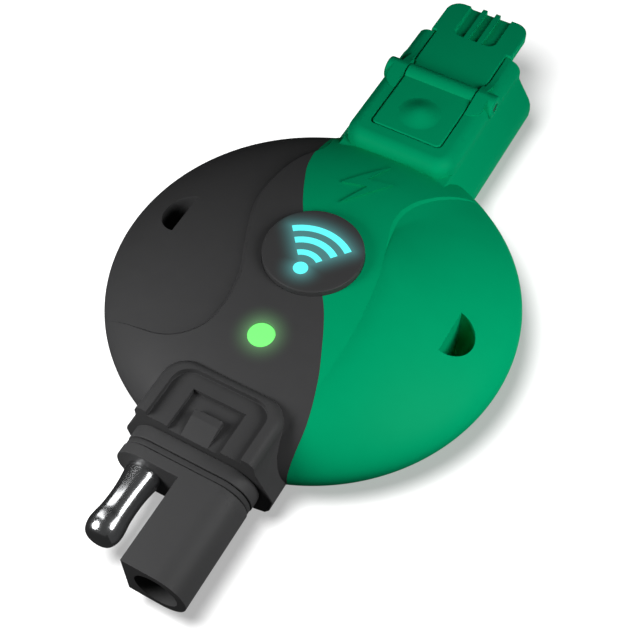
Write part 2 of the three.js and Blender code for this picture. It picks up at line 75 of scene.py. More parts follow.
def prism(points, low, high, along="Z"):
    """An outline pulled along an axis: (x, y) along Z, (x, z) along Y, (y, z) along X."""
    bm = bmesh.new()
    face = bm.faces.new([bm.verts.new((a, b, low)) for a, b in points])
    pulled = bmesh.ops.extrude_face_region(bm, geom=[face], use_keep_orig=True)
    moved = [v for v in pulled["geom"] if isinstance(v, bmesh.types.BMVert)]
    bmesh.ops.translate(bm, vec=(0, 0, high - low), verts=moved)
    turn = {"Z": ((1, 0, 0), (0, 1, 0), (0, 0, 1)), "Y": ((1, 0, 0), (0, 0, 1), (0, 1, 0)),
            "X": ((0, 0, 1), (1, 0, 0), (0, 1, 0))}[along]
    bmesh.ops.transform(bm, matrix=Matrix(turn), verts=bm.verts)
    bmesh.ops.recalc_face_normals(bm, faces=bm.faces)
    return bm


def smooth_line(points, steps):
    """A smooth line through the given points."""
    line = []
    spans = len(points) - 1
    for step in range(steps + 1):
        at = spans * step / steps
        i = min(int(at), spans - 1)
        t = at - i
        a, b, c, d = (Vector(points[min(max(k, 0), spans)]) for k in (i - 1, i, i + 1, i + 2))
        bend = 2 * a - 5 * b + 4 * c - d + t * (3 * (b - c) + d - a)
        line.append(b + 0.5 * t * (c - a + t * bend))
    return line


def aside(line, distance):
    """The line moved sideways, to its left for a positive distance."""
    moved = []
    for i, point in enumerate(line):
        run = line[min(i + 1, len(line) - 1)] - line[max(i - 1, 0)]
        moved.append(point + distance * Vector((-run.y, run.x)).normalized())
    return moved


def solid(bm):
    """A working solid in the scene, ready to be joined or cut."""
    mesh = bpy.data.meshes.new("work")
    bm.to_mesh(mesh)
    bm.free()
    work = bpy.data.objects.new("work", mesh)
    bpy.context.scene.collection.objects.link(work)
    return work


def combine(body, operation, *tools):
    """Joins tools to a body, cuts them from it, or keeps only what they share."""
    for tool in tools:
        step = body.modifiers.new(operation, "BOOLEAN")
        step.operation, step.solver, step.object = operation, "MANIFOLD", tool
    seen = body.evaluated_get(bpy.context.evaluated_depsgraph_get())
    mesh = bpy.data.meshes.new_from_object(seen)
    body.modifiers.clear()
    body.data = mesh
    for tool in tools:
        bpy.data.objects.remove(tool)
    return body


def join(body, *tools):
    return combine(body, "UNION", *tools)


def cut(body, *tools):
    return combine(body, "DIFFERENCE", *tools)


def shared(body, *tools):
    return combine(body, "INTERSECT", *tools)


GREY_STEP = [(-10.3, 32), (-10, 25), (-9.5, 20.6), (-11.5, 15.5), (-12.15, 9.2), (-11.5, 4.5),
             (-9, -1.8), (-7.2, -6), (-6.5, -11), (-7.6, -15.6), (-12, -18.5), (-20.3, -18.4),
             (-31, -17.6)]
GREEN_STEP = [(20, 30), (13.5, 24.4), (9.4, 20.2), (6.7, 15.6), (6.2, 11), (8, 5), (9.3, 0),
              (10.15, -7.6), (9.8, -16.2), (8.9, -21.6), (8.4, -31)]
# each lobe lies to the right (-1) or left (1) of its line; two far corners close its plan
STEPS = [(smooth_line(GREY_STEP, 150), -1, [(-LONG, -17.6), (-LONG, 32)]),
         (smooth_line(GREEN_STEP, 150), 1, [(LONG, -31), (LONG, 30)])]
BAND_HEIGHT = RISE - LOBE_RISE
RAMP_WIDTH, FILLET, FILLET_WIDTH = 0.8, 0.45, 3.0
ROLL_WIDTH, ROLL_RISE, ROLL_FADE, ROLL_END = 3.0, 0.62, 13.0, 4.0
POINTS = 1201

step_points = KDTree(2 * POINTS)
fine_lines = [smooth_line([tuple(p) for p in line], POINTS - 1) for line, side, ends in STEPS]
for number, line in enumerate(fine_lines):
    for i, point in enumerate(line):
        step_points.insert((*point, 0), POINTS * number + i)
step_points.balance()


def from_step(vert):
    """How far a point is from the nearer S-shaped step, seen from above."""
    return step_points.find((vert.co.x, vert.co.y, 0))[2]


def into_green_lobe(vert):
    """How far a point is past the green lobe's step; less than 0 on the band."""
    foot, number, reach = step_points.find((vert.co.x, vert.co.y, 0))
    if number < POINTS:
        return -reach
    i = min(number - POINTS, POINTS - 2)
    run = fine_lines[1][i + 1] - fine_lines[1][i]
    beside = (vert.co - foot).xy
    return math.copysign(reach, run.x * beside.y - run.y * beside.x)


def eased(t):
    """A smooth start and end between 0 and 1."""
    t = min(1, max(0, t))
    return t * t * (3 - 2 * t)


def step_height(vert):
    """Height of the band above the lobes at a point; it runs out at the rim."""
    reach = min(1, vert.co.xy.length / RADIUS)
    return BAND_HEIGHT * math.sqrt(1 - reach * reach)


def green_roll(vert, past):
    """The green lobe swells up from the band's own level over its nearer length."""
    beyond = max(0, past)
    along = min(1, beyond / ROLL_WIDTH)
    swell = ROLL_RISE * along * (2 - along) + 2 * ROLL_RISE / ROLL_WIDTH * min(0, past)
    lift = (1 + swell / BAND_HEIGHT) * step_height(vert)
    outward = eased((past - ROLL_WIDTH) / ROLL_FADE)
    upward = eased((vert.co.y - ROLL_END + 0.7 * beyond) / (9 + 1.5 * beyond))
    return lift * (1 - outward) * (1 - upward)


# lobes, swept up softly to the foot of the step
lobes = lens(RADIUS, LOBE_RISE, DROP, 0, 256, 56)
for vert in lobes.verts:
    if vert.co.z > MID:
        rise = FILLET * step_height(vert) * max(0, 1 - from_step(vert) / FILLET_WIDTH) ** 2
        past = into_green_lobe(vert)
        if past > -4 and vert.co.x > 0:
            rise = max(rise, green_roll(vert, past))
        vert.co.z += rise
case = solid(lobes)


def high_dome(lift=0.0, steps=224, rings=48):
    """The raised band's dome, just inside the rim and closed under it."""
    edge = RADIUS - 0.02
    over = [math.pi / 2 * i / rings for i in range(rings)]
    profile = [(edge * math.cos(a), MID + (RISE + lift) * math.sin(a)) for a in over]
    return turned([(0, MID - 0.5), (edge - 0.4, MID - 0.5), *profile, (0, MID + RISE + lift)], steps)


lobe_plans = [solid(prism([*line, *ends], 0, 30)) for line, side, ends in STEPS]
join(case, cut(solid(high_dome()), *lobe_plans))

# the step's slope, a narrow ramp along each S line
for line, side, ends in STEPS:
    plan = [*aside(line, -0.02 * side), *reversed(aside(line, RAMP_WIDTH * side))]
    ramp = shared(solid(high_dome()), solid(prism(plan, 10.5, 30)))
    for vert in ramp.data.vertices:
        if vert.co.z > 10.6:
            vert.co.z -= from_step(vert)
    join(case, ramp)

# raised lightning sign with sloping sides
BOLT = [(1.23, 21.73), (-3.44, 13.81), (0.17, 14.91), (-1.66, 9.75), (3.13, 17.49), (-0.43, 16.46)]
BOLT_LIFT, BOLT_SLOPE = 0.35, 0.15


def widened(corners, width):
    """A closed outline with its corners moved out, so that every side moves by the width."""
    moved = []
    for i, corner in enumerate(corners):
        before, here, after = (Vector(corners[(i + k) % len(corners)]) for k in (-1, 0, 1))
        first, second = ((b - a).normalized() for a, b in ((before, here), (here, after)))
        out = Vector((first.y, -first.x)) + Vector((second.y, -second.x))
        moved.append(here - out * width / (1 + first.dot(second)))
    return moved


def divided(corners, parts):
    """The same outline with every side cut into equal parts."""
    sides = zip(corners, [*corners[1:], corners[0]])
    return [Vector(a).lerp(Vector(b), i / parts) for a, b in sides for i in range(parts)]


def on_dome(points, lift):
    """The points set on the raised band's dome, or a little off it."""
    heights = [RISE * math.sqrt(1 - (x * x + y * y) / RADIUS ** 2) for x, y in points]
    return [(x, y, MID + height + lift) for (x, y), height in zip(points, heights)]


foot_line, top_line = divided(widened(BOLT, BOLT_SLOPE), 10), divided(BOLT, 10)
rings = [[(x, y, 12) for x, y in foot_line], on_dome(foot_line, -0.03),
         on_dome(top_line, BOLT_LIFT + 0.02), [(x, y, 30) for x, y in top_line]]
bolt = bmesh.new()
loops = []
for ring in rings:
    verts = [bolt.verts.new(point) for point in ring]
    loops.append([bolt.edges.new(pair) for pair in zip(verts, [*verts[1:], verts[0]])])
    if ring in (rings[0], rings[-1]):
        bolt.faces.new(verts)
for loop, next_loop in zip(loops, loops[1:]):
    bmesh.ops.bridge_loops(bolt, edges=loop + next_loop)
bmesh.ops.recalc_face_normals(bolt, faces=bolt.faces)
join(case, shared(solid(high_dome(BOLT_LIFT, 96, 24)), solid(bolt)))

# ---------------------------------------------------------------- plug hood
# A raised U-shaped frame over the plug, moulded with the grey half. It guides the latch of
# the mating socket, whose hook snaps over the wedge in its pocket.


def cube(x0, x1, y0, y1, z0, z1):
    """A box from its low and high sides along each axis."""
    bm = bmesh.new()
    bmesh.ops.create_cube(bm, size=1)
    bmesh.ops.scale(bm, vec=(x1 - x0, y1 - y0, z1 - z0), verts=bm.verts)
    bmesh.ops.translate(bm, vec=((x0 + x1) / 2, (y0 + y1) / 2, (z0 + z1) / 2), verts=bm.verts)
    return bm


def rounded(bm, pick, radius, segments=6):
    """Rounds every edge whose middle and run (X, Y, Z or slanted) pass the test."""
    edges = []
    for edge in bm.edges:
        a, b = (v.co for v in edge.verts)
        step = [abs(c) for c in (b - a).normalized()]
        run = "XYZ"[step.index(max(step))] if max(step) > 0.999 else "slanted"
        if pick((a + b) / 2, run):
            edges.append(edge)
    bmesh.ops.bevel(bm, geom=edges, offset=radius, segments=segments, profile=0.5,
                    affect="EDGES", material=-1)
    return bm


def near(value, target):
    """Whether a coordinate is the given one."""
    return abs(value - target) < 1e-3


def both_sides(half):
    """A whole outline from its right half."""
    return [*half, *[(-a, b) for a, b in reversed(half)]]


HOOD_FACE, HOOD_WIDTH, HOOD_BACK, HOOD_TOP = -29.6, 8.65, -20.0, 15.93
RECESS_BACK, RECESS_FLOOR, POCKET_FLOOR = -21.4, 15.0, 14.2
HOOD_FLANK = [(8.6, 13.6), (9.31, 11.92), (10.73, 8.92), (10.93, 8.22), (10.28, 5.43),
              (9.68, 4.52), (8.05, 3.95)]

root = prism(both_sides(HOOD_FLANK), HOOD_FACE, -14, "Y")
rounded(root, lambda p, run: near(p.y, HOOD_FACE), 0.2, 3)
frame_block = cube(-HOOD_WIDTH, HOOD_WIDTH, HOOD_FACE, HOOD_BACK, 8, HOOD_TOP)
rounded(frame_block, lambda p, run: near(p.y, HOOD_BACK) and run == "Z", 3.5, 10)
rounded(frame_block, lambda p, run: near(p.z, HOOD_TOP) and not near(p.y, HOOD_FACE), 1.3, 8)
recess = cube(-6.8, 6.8, -40, RECESS_BACK, RECESS_FLOOR, 20)
rounded(recess, lambda p, run: near(p.y, RECESS_BACK) and run == "Z", 2.6, 10)
rounded(recess, lambda p, run: near(p.z, RECESS_FLOOR) and not near(p.y, -40), 0.1, 3)
hood = join(solid(root), solid(frame_block))
cut(hood, solid(recess), solid(cube(-3.83, 3.83, -31, -23.5, POCKET_FLOOR, 20)))
wedge = prism([(-25.85, 13.8), (-25.85, 15.13), (-26.9, 15.13), (-29.59, 14.24), (-29.59, 13.8)],
              -1.98, 1.98, "X")
rounded(wedge, lambda p, run: p.z > 14.3, 0.06, 2)
join(hood, solid(wedge))

# ---------------------------------------------------------------- socket block
# The housing round the socket, moulded with the green half: a heavily rounded block on a
# wider flank. Two ears stand up from it for the latch's steel pin.

BLOCK_FACE, BLOCK_NEAR, BLOCK_WIDTH, BLOCK_TOP, BLOCK_LOW_TOP = 48.6, 23.2, 8.6, 16.4, 15.8
FLANK = [(8.5, 13.8), (8.72, 12.95), (9.2, 12.1), (10.0, 10.9), (10.8, 9.6), (11.15, 8.7),
         (11.27, 7.6), (11.2, 6.3), (10.9, 5.2), (10.3, 4.1), (9.6, 3.4), (8.7, 3)]
HINGE_Y, HINGE_Z, BARREL = 38.7, 15.4, 1.75

upper = prism([(BLOCK_NEAR, 3), (BLOCK_NEAR, BLOCK_TOP), (38.4, BLOCK_TOP), (40.6, BLOCK_LOW_TOP),
               (BLOCK_FACE, BLOCK_LOW_TOP), (BLOCK_FACE, 3)], -BLOCK_WIDTH, BLOCK_WIDTH, "X")
rounded(upper, lambda p, run: near(p.y, BLOCK_NEAR) and run == "Z", 3.0, 12)
rounded(upper, lambda p, run: p.z > 15 and not near(p.y, BLOCK_FACE) and (run != "X" or p.y < 30),
        1.9, 10)
flank = prism(both_sides(FLANK), 14, BLOCK_FACE, "Y")
rounded(flank, lambda p, run: near(p.y, BLOCK_FACE), 0.2, 3)
housing = join(solid(upper), solid(flank))


def at_hinge(bm):
    """A working solid moved from the origin to the hinge."""
    bmesh.ops.translate(bm, vec=(0, HINGE_Y, HINGE_Z), verts=bm.verts)
    return solid(bm)


for side in (-1, 1):
    ear = turned([(0, side * 5), (BARREL, side * 5), (BARREL, side * 8.6),
                  (BARREL - 0.08, side * 8.75), (BARREL - 0.25, side * 8.85), (0, side * 8.85)],
                 64, "X")
    lug = cube(*sorted((side * 5, side * 7.75)), 34.4, HINGE_Y, 14, 17.1)
    rounded(lug, lambda p, run: near(p.x, side * 7.75) and near(p.y, 34.4), 1.9, 10)
    lug_top = prism([(34, 16.35), (34.4, 16.45), (38.3, 17.12), (38.7, 17.14), (40, 14), (34, 14)],
                    -9, 9, "X")
    ramp = prism([(HINGE_Y, 14), (HINGE_Y, 17.1), (39.6, 17.02), (43, 15.7), (43, 14)],
                 *sorted((side * 5, side * 6.9)), "X")
    join(housing, at_hinge(ear), shared(solid(lug), solid(lug_top)), solid(ramp))

# latch well: a shallow bed over the socket, deeper under the thumb pad
CREVICE, BED_FLOOR = 0.26, 13.95
PAD_NEAR, PAD_WIDTH, TONGUE_WIDTH = 26.7, 5.45, 5.8
WELL_NEAR, WELL_WIDTH = PAD_NEAR - CREVICE, PAD_WIDTH + CREVICE
TONGUE_BED_WIDTH = TONGUE_WIDTH + CREVICE
bed = cube(-WELL_WIDTH, WELL_WIDTH, WELL_NEAR, LONG, BED_FLOOR, 30)
deep = cube(-WELL_WIDTH, WELL_WIDTH, WELL_NEAR, 29, 12.9, 30)
for well in (bed, deep):
    rounded(well, lambda p, run: near(p.y, WELL_NEAR) and run == "Z", 0.85, 6)
tongue_bed = cube(-TONGUE_BED_WIDTH, TONGUE_BED_WIDTH, 41, LONG, BED_FLOOR, 30)
pin_way = turned([(0, -12), (0.74, -12), (0.74, 12), (0, 12)], 32, "X")
cut(housing, solid(bed), solid(deep), solid(tongue_bed), at_hinge(pin_way))

# ---------------------------------------------------------------- grey and green halves
# The whole case is hollowed, pierced for its button, light, plug, socket and D-shaped
# lashing holes, and parted along the line where the two colours of plastic meet.

POLE_X, POLE_Z = 4.9, 9.0
LASHING_X, LASHING_R = 20.3, 3.4
SCREW_RING, SCREW_ANGLES = 12.2, [math.radians(a) for a in (165, 240, 345, 60)]
SCREWS = [(SCREW_RING * math.cos(a), SCREW_RING * math.sin(a)) for a in SCREW_ANGLES]
BUTTON_X, BUTTON_Y, BUTTON_HOLE = -0.2, 0.4, 6.88
LENS_Y, LENS_R = -13.35, 1.8


def disc(radius, low, high, x=0.0, y=0.0, steps=64):
    """An upright cylinder."""
    bm = turned([(0, low), (radius, low), (radius, high), (0, high)], steps)
    bmesh.ops.translate(bm, vec=(x, y, 0), verts=bm.verts)
    return bm


def stadium(width, radius, y0, y1, z=POLE_Z, edge=0.0):
    """A bar along Y with a flat top and bottom and round sides."""
    bm = cube(-width, width, y0, y1, z - radius, z + radius)
    rounded(bm, lambda p, run: run == "Y", radius - 0.01, 14)
    return rounded(bm, lambda p, run: run != "Y", edge, 3) if edge else bm


def lashing(side, grow=0.0):
    """Plan of a lashing hole: half round, with its flat side towards the middle."""
    turn = [math.pi * i / 40 - math.pi / 2 for i in range(41)]
    reach = LASHING_R + grow
    arc = [(side * (LASHING_X + reach * math.cos(a)), side * reach * math.sin(a)) for a in turn]
    flat = [(side * (LASHING_X - grow), end * reach) for end in (side, -side)] if grow else []
    return [*arc, *flat]


WALL = 2.0
room = join(solid(lens(RADIUS - WALL, 6.3, 8.3, WALL, 64, 12)),
            solid(stadium(9.3, 4, HOOD_FACE + 2.3, -17)), solid(stadium(8.6, 3, 18, 29.2, 8.6)))
bosses = []
for x, y in SCREWS:
    bosses.append(cut(solid(disc(2.6, 8.9, 17, x, y, 24)), solid(disc(1.25, 5, 13.3, x, y, 24))))
ledge = turned([(15.6, 1.9), (19.5, 1.9), (19.5, 4.3), (15.6, 4.3), (15.6, 1.9)], 64)
lashing_walls = [solid(prism(lashing(side, 1.4), -5, 30)) for side in (-1, 1)]
cut(room, *bosses, *lashing_walls, solid(ledge))
join(room, solid(disc(17.7, -5, 2.9)))

join(case, hood, housing)
lashing_holes = [solid(prism(lashing(side), -5, 30)) for side in (-1, 1)]
cut(case, room, solid(stadium(9.4, 4.35, 31, LONG)), solid(stadium(8.3, 3.5, 28, 32)),
    solid(stadium(8.3, 3.8, -32, -27)), solid(disc(BUTTON_HOLE, 9, 30, BUTTON_X, BUTTON_Y, 128)),
    solid(disc(LENS_R + 0.05, 9, 30, 0, LENS_Y)), *lashing_holes)

SPLIT = [(-11.5, 34), (-11.45, 27), (-10.6, 24), (-10.35, 20), (-9.75, 16.4), (-8.6, 13), (-5.1, 6.3),
         (0, 0), (5, -6.1), (8.4, -12.9), (9.75, -16.5), (10.7, -20), (11.05, -23.5), (11.15, -34)]


def colour_side(side):
    """Everything on the grey (-1) or green (1) side of the parting line."""
    line = [(x + 0.006 * side, y) for x, y in smooth_line(SPLIT, 150)]
    corners = [(line[-1][0], -LONG), (side * LONG, -LONG), (side * LONG, LONG), (line[0][0], LONG)]
    return solid(prism([*line, *corners], -5, 30))


def finished(work, name, finish, angle=28):
    """A working solid made a finished piece: in metres, smooth but for its real edges."""
    work.name = work.data.name = name
    work.data.transform(Matrix.Scale(0.001, 4))
    work.data.materials.clear()
    work.data.materials.append(finish.material)
    work.data.polygons.foreach_set("material_index", [0] * len(work.data.polygons))
    work.data.shade_smooth()
    work.data.set_sharp_from_angle(angle=math.radians(angle))
    work.modifiers.new("even_shading", "WEIGHTED_NORMAL").keep_sharp = True
    return work


class Reading:
    """A number that varies over a surface, with ordinary arithmetic."""

    def __init__(self, finish, socket):
        self.finish, self.socket = finish, socket

    def sum(self, operation, *values):
        return self.finish.node("ShaderNodeMath", {"operation": operation}, values)

    def __add__(self, other):
        return self.sum("ADD", self, other)

    def __sub__(self, other):
        return self.sum("SUBTRACT", self, other)

    def __rsub__(self, other):
        return self.sum("SUBTRACT", other, self)

    def __mul__(self, other):
        return self.sum("MULTIPLY", self, other)

    def __pow__(self, other):
        return self.sum("POWER", self, other)

    __radd__, __rmul__ = __add__, __mul__


class Finish:
    """A surface finish: a shader with its fixed values, and what varies on it."""

    def __init__(self, name, **values):
        self.material = bpy.data.materials.new(name)
        self.material.use_nodes = True
        self.tree = self.material.node_tree
        self.shader = self.tree.nodes["Principled BSDF"]
        self.place = self.node("ShaderNodeTexCoord", output="Object")
        self.show(**values)

    def node(self, kind, settings=None, sockets=(), output=0):
        node = self.tree.nodes.new(kind)
        for name, value in (settings or {}).items():
            setattr(node, name, value)
        for key, value in (sockets.items() if isinstance(sockets, dict) else enumerate(sockets)):
            self.join(value, node.inputs[key])
        return Reading(self, node.outputs[output])

    def join(self, value, socket):
        if isinstance(value, Reading):
            self.tree.links.new(value.socket, socket)
        else:
            socket.default_value = value

    def show(self, **values):
        for name, value in values.items():
            self.join(value, self.shader.inputs[name.replace("_", " ")])

    def noise(self, scale, detail=2.0):
        sockets = {"Vector": self.place, "Scale": scale, "Detail": detail}
        return self.node("ShaderNodeTexNoise", None, sockets)

    def blend(self, factor, first, second):
        sockets = {0: factor, 6: (*first, 1), 7: (*second, 1)}
        return self.node("ShaderNodeMix", {"data_type": "RGBA"}, sockets, 2)

    def wear(self, colour, mottle=0.05, roughness=0.5, spread=0.08, grain=0.1, size=0.00018):
        """Faint clouding, uneven sheen and a fine moulded grain."""
        clouds = self.noise(420, 3)
        dark, light = ([c * k for c in colour] for k in (1 - mottle, 1 + mottle))
        relief = {"Strength": grain, "Distance": 0.00003, "Height": self.noise(1 / size, 2)}
        self.show(Base_Color=self.blend(clouds, dark, light),
                  Roughness=roughness - spread / 2 + spread * self.noise(1500, 2),
                  Normal=self.node("ShaderNodeBump", None, relief))
        return self


GREY, GREEN = (0.061, 0.061, 0.062), (0.0, 0.41, 0.168)
grey_plastic = Finish("satin_grey_plastic", Specular_IOR_Level=0.12).wear(GREY, 0.05, 0.5)
green_plastic = Finish("satin_green_plastic", Specular_IOR_Level=0.02).wear(GREEN, 0.03, 0.48)

work = case.copy()
work.data = case.data.copy()
bpy.context.scene.collection.objects.link(work)
grey_half = finished(shared(case, colour_side(-1)), "grey_half", grey_plastic)
green_half = finished(shared(work, colour_side(1)), "green_half", green_plastic)
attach(grey_half, "case")
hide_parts("grey_shell")
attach(green_half, "case")
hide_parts("green_shell")

# the status light's glow on the grey plastic round it, painted there as a green emission that fades
# with distance from the lens
offset = grey_plastic.node("ShaderNodeVectorMath", {"operation": "SUBTRACT"},
                           (grey_plastic.place, (0, LENS_Y / 1000, 0.017)))
reach = grey_plastic.node("ShaderNodeVectorMath", {"operation": "LENGTH"}, (offset,), 1)
glow = reach.sum("MAXIMUM", 1 - reach * (1000 / 4.6), 0) ** 2.4
grey_plastic.show(Emission_Color=grey_plastic.blend(glow, (0, 0, 0), (0.2, 0.55, 0.2)),
                  Emission_Strength=1.0)

# ---------------------------------------------------------------- base cover
# A round cover screwed on from below, in the same grey plastic, with a rubber gasket. The
# pod stands on its flat face. Four plated cross-head screws sit in counterbores.

cover = solid(turned([(0, 0), (14.4, 0), (14.7, 0.06), (16.1, 0.38), (17.3, 0.74), (17.4, 0.85),
                      (17.4, 1.5), (0, 1.5)], 128))
for x, y in SCREWS:
    join(cover, solid(disc(2.6, 1, 6.7, x, y, 32)))
for x, y in SCREWS:
    cut(cover, solid(disc(2.05, -1, 1.1, x, y, 32)), solid(disc(1.25, 0.5, 9, x, y, 24)))
cut(cover, solid(turned([(10, -1), (10.3, -1), (10.3, 0.25), (10, 0.25), (10, -1)], 96)))
cover = finished(cover, "base_plate", grey_plastic)
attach(cover, "case")
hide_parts("base_cover")

plated_steel = Finish("plated_steel", Metallic=1.0)
plated_steel.wear((0.5, 0.51, 0.52), 0.08, 0.32, 0.16, 0.06)
for number, (x, y) in enumerate(SCREWS, 1):
    screw = solid(turned([(0, 0.1), (1.5, 0.1), (1.7, 0.16), (1.75, 0.3), (1.75, 0.5),
                          (0.95, 0.85), (0.95, 12.5), (0, 13)], 40))
    arms = [cube(-0.95, 0.95, -0.17, 0.17, -1, 0.42), cube(-0.17, 0.17, -0.95, 0.95, -1, 0.42)]
    drive = Matrix.Rotation(0.7 * number, 3, "Z")
    for arm in arms:
        bmesh.ops.rotate(arm, verts=arm.verts, cent=(0, 0, 0), matrix=drive)
    cut(screw, *[solid(arm) for arm in arms])
    screw.data.transform(Matrix.Translation((x, y, 0)))
    screw = finished(screw, f"cover_screw_{number}", plated_steel)
    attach(screw, "case")
    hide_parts(f"base_screw_{number}")

# ---------------------------------------------------------------- plug
# A moulded collar that pushes into a battery lead's socket, with a rubber seal in its groove
# and a D-shaped shroud round the sleeve contact. The bare bullet contact stands beside it.

COLLAR_W, COLLAR_R = 9.13, 4.05
plug_plastic = Finish("smooth_grey_plastic", Specular_IOR_Level=0.15)
plug_plastic.wear((0.066, 0.066, 0.067), 0.03, 0.52, 0.06, 0.05)


def d_bar(side, width, y0, y1, edge):
    """The shroud's section: one flat side by the middle, the other well rounded."""
    bm = cube(*sorted((side * 0.5, side * width)), y0, y1, POLE_Z - COLLAR_R, POLE_Z + COLLAR_R)
    rounded(bm, lambda p, run: run == "Y" and near(p.x, side * width), COLLAR_R - 0.01, 16)
    return rounded(bm, lambda p, run: run != "Y", edge, 2)


def rod(radius, y0, y1, x, steps=64):
    """A cylinder along Y at the poles' height."""
    bm = turned([(0, y0), (radius, y0), (radius, y1), (0, y1)], steps, "Y")
    bmesh.ops.translate(bm, vec=(x, 0, POLE_Z), verts=bm.verts)
    return bm


plug = solid(stadium(COLLAR_W, COLLAR_R, -31.52, -29.62, edge=0.16))
join(plug, solid(stadium(8.3, 3.4, -33, -31)),
     solid(stadium(COLLAR_W, COLLAR_R, -34.1, -32.48, edge=0.16)),
     solid(stadium(8, 3.5, -31, -26.5)), solid(stadium(9, 3.7, -27, -25)),
     solid(d_bar(1, COLLAR_W, -46.4, -33.4, 0.07)))
cut(plug, solid(rod(3.0, -50, -33.3, POLE_X)), solid(rod(1.45, -40, -20, POLE_X)),
    solid(rod(1.45, -40, -20, -POLE_X)))
plug = finished(plug, "plug_body", plug_plastic)
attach(plug, "case")
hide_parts("plug_insulator")

seal = solid(stadium(9.02, 3.94, -32.4, -31.6, edge=0.2))
cut(seal, solid(stadium(8.35, 3.45, -33, -31)))
seal_rubber = Finish("seal_rubber", Specular_IOR_Level=0.15)
seal_rubber.wear((0.055, 0.055, 0.056), 0.04, 0.62, 0.06, 0.08)
seal = finished(seal, "plug_seal", seal_rubber)
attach(seal, "case")
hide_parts("plug_o_ring")

# polished bullet and its sprung sleeve
chrome = Finish("polished_contact", Metallic=1.0)
chrome.wear((0.62, 0.63, 0.64), 0.04, 0.2, 0.04, 0.004)
BULLET = [(0, -44.7), (0.8, -44.68), (1.45, -44.5), (1.95, -44.1), (2.28, -43.4), (2.39, -42.6),
          (2.31, -41.6), (2.16, -40.6), (2.09, -39.4), (2.08, -38.2), (2.14, -37.0), (2.28, -35.8),
          (2.45, -34.7), (2.52, -33.5)]
pin = [(abs(p.x), p.y) for p in smooth_line(BULLET, 90)]
bullet = turned([*pin, (1.2, -33.5), (1.2, -24), (0, -24)], 96, "Y")
bmesh.ops.translate(bullet, vec=(-POLE_X, 0, POLE_Z), verts=bullet.verts)
bullet = finished(solid(bullet), "bullet_contact", chrome, 50)
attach(bullet, "case")
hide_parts("plug_pin")


def sleeve_profile(tail, root, floor, mouth):
    """Turned profile of a sleeve contact, open at its mouth, with its soldering tail."""
    step = 0.15 if mouth > tail else -0.15
    return [(0, floor), (2.4, floor), (2.4, mouth - step), (2.5, mouth), (2.7, mouth),
            (2.8, mouth - step), (2.8, root), (1.2, root), (1.2, tail), (0, tail)]


for name, node, x, sizes in (("plug_tube", "plug_sleeve", POLE_X, (-24, -33.5, -34.5, -40.5)),
                             ("socket_tube", "socket_sleeve", -POLE_X, (27.6, 33.4, 34.4, 38))):
    tube = turned(sleeve_profile(*sizes), 64, "Y")
    bmesh.ops.translate(tube, vec=(x, 0, POLE_Z), verts=tube.verts)
    tube = solid(tube)
    length = sorted((sizes[2], 1.1 * sizes[3]))
    cut(tube, solid(cube(x - 0.2, x + 0.2, *length, 0, 20)),
        solid(cube(x - 9, x + 9, *length, POLE_Z - 0.2, POLE_Z + 0.2)))
    tube = finished(tube, name, chrome)
    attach(tube, "case")
    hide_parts(node)

# ---------------------------------------------------------------- socket
# The matching socket inside the block, for a plug of the same kind. Its bullet and sleeve
# stand the other way round, so that the poles can't be swapped.

inner = solid(stadium(9, 4, 31.3, 32.8, edge=0.1))
join(inner, solid(stadium(8, 3.2, 28.6, 32)), solid(d_bar(-1, 8.9, 32, 43.8, 0.12)))
cut(inner, solid(rod(3.0, 33.1, 50, -POLE_X)), solid(rod(1.45, 20, 40, -POLE_X)),
    solid(rod(1.45, 20, 40, POLE_X)))
inner = finished(inner, "socket_body", plug_plastic)
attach(inner, "case")
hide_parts("socket_insulator")

STUB = [(0, 42.6), (0.7, 42.55), (1.3, 42.3), (1.9, 41.85), (2.25, 41.2), (2.3, 40.5),
        (2.18, 39.6), (2.1, 38), (2.1, 35.5), (2.2, 34.2), (2.3, 33.1)]
stub = [(abs(p.x), p.y) for p in smooth_line(STUB, 60)]
stub = turned([*stub, (1.2, 33.1), (1.2, 27.6), (0, 27.6)], 64, "Y")
bmesh.ops.translate(stub, vec=(POLE_X, 0, POLE_Z), verts=stub.verts)
stub = finished(solid(stub), "socket_bullet", chrome, 50)
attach(stub, "case")
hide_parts("socket_pin")

# ---------------------------------------------------------------- latch lever
# One green moulding on a steel pin: a thumb pad with a soft round rise, a hinge barrel, and a
# tongue that ends in a grooved paddle. Pressing the pad lifts the paddle and its hook.

PADDLE_W, PADDLE_START, PADDLE_END, LEVER_TOP, LEVER_UNDER = 6.7, 49.0, 56.45, 16.0, 14.4
PAD_TOP, THUMB_Y, THUMB_R, THUMB_RISE = 16.45, 31.3, 3.6, 0.92
RIB_END, GROOVE_START, GROOVE_FLOOR = 56.7, 49.4, LEVER_TOP - 0.6

pad = cube(-PAD_WIDTH, PAD_WIDTH, PAD_NEAR, HINGE_Y, 15.25, PAD_TOP)
rounded(pad, lambda p, run: near(p.y, PAD_NEAR) and run == "Z", 0.75, 6)
rounded(pad, lambda p, run: near(p.z, PAD_TOP) and not near(p.y, HINGE_Y), 0.2, 4)
tongue = prism([(PAD_WIDTH, HINGE_Y), (PAD_WIDTH, 41), (TONGUE_WIDTH, 41.35), (TONGUE_WIDTH, 50),
                (-TONGUE_WIDTH, 50), (-TONGUE_WIDTH, 41.35), (-PAD_WIDTH, 41),
                (-PAD_WIDTH, HINGE_Y)], LEVER_UNDER, LEVER_TOP)
rounded(tongue, lambda p, run: near(p.z, LEVER_TOP) and abs(p.x) > 5, 0.18, 4)
paddle = cube(-PADDLE_W, PADDLE_W, PADDLE_START, PADDLE_END, LEVER_UNDER, LEVER_TOP)
rounded(paddle, lambda p, run: near(p.y, PADDLE_END) and run == "Z", 2.3, 12)
rounded(paddle, lambda p, run: near(p.z, LEVER_TOP) or near(p.z, LEVER_UNDER), 0.22, 4)
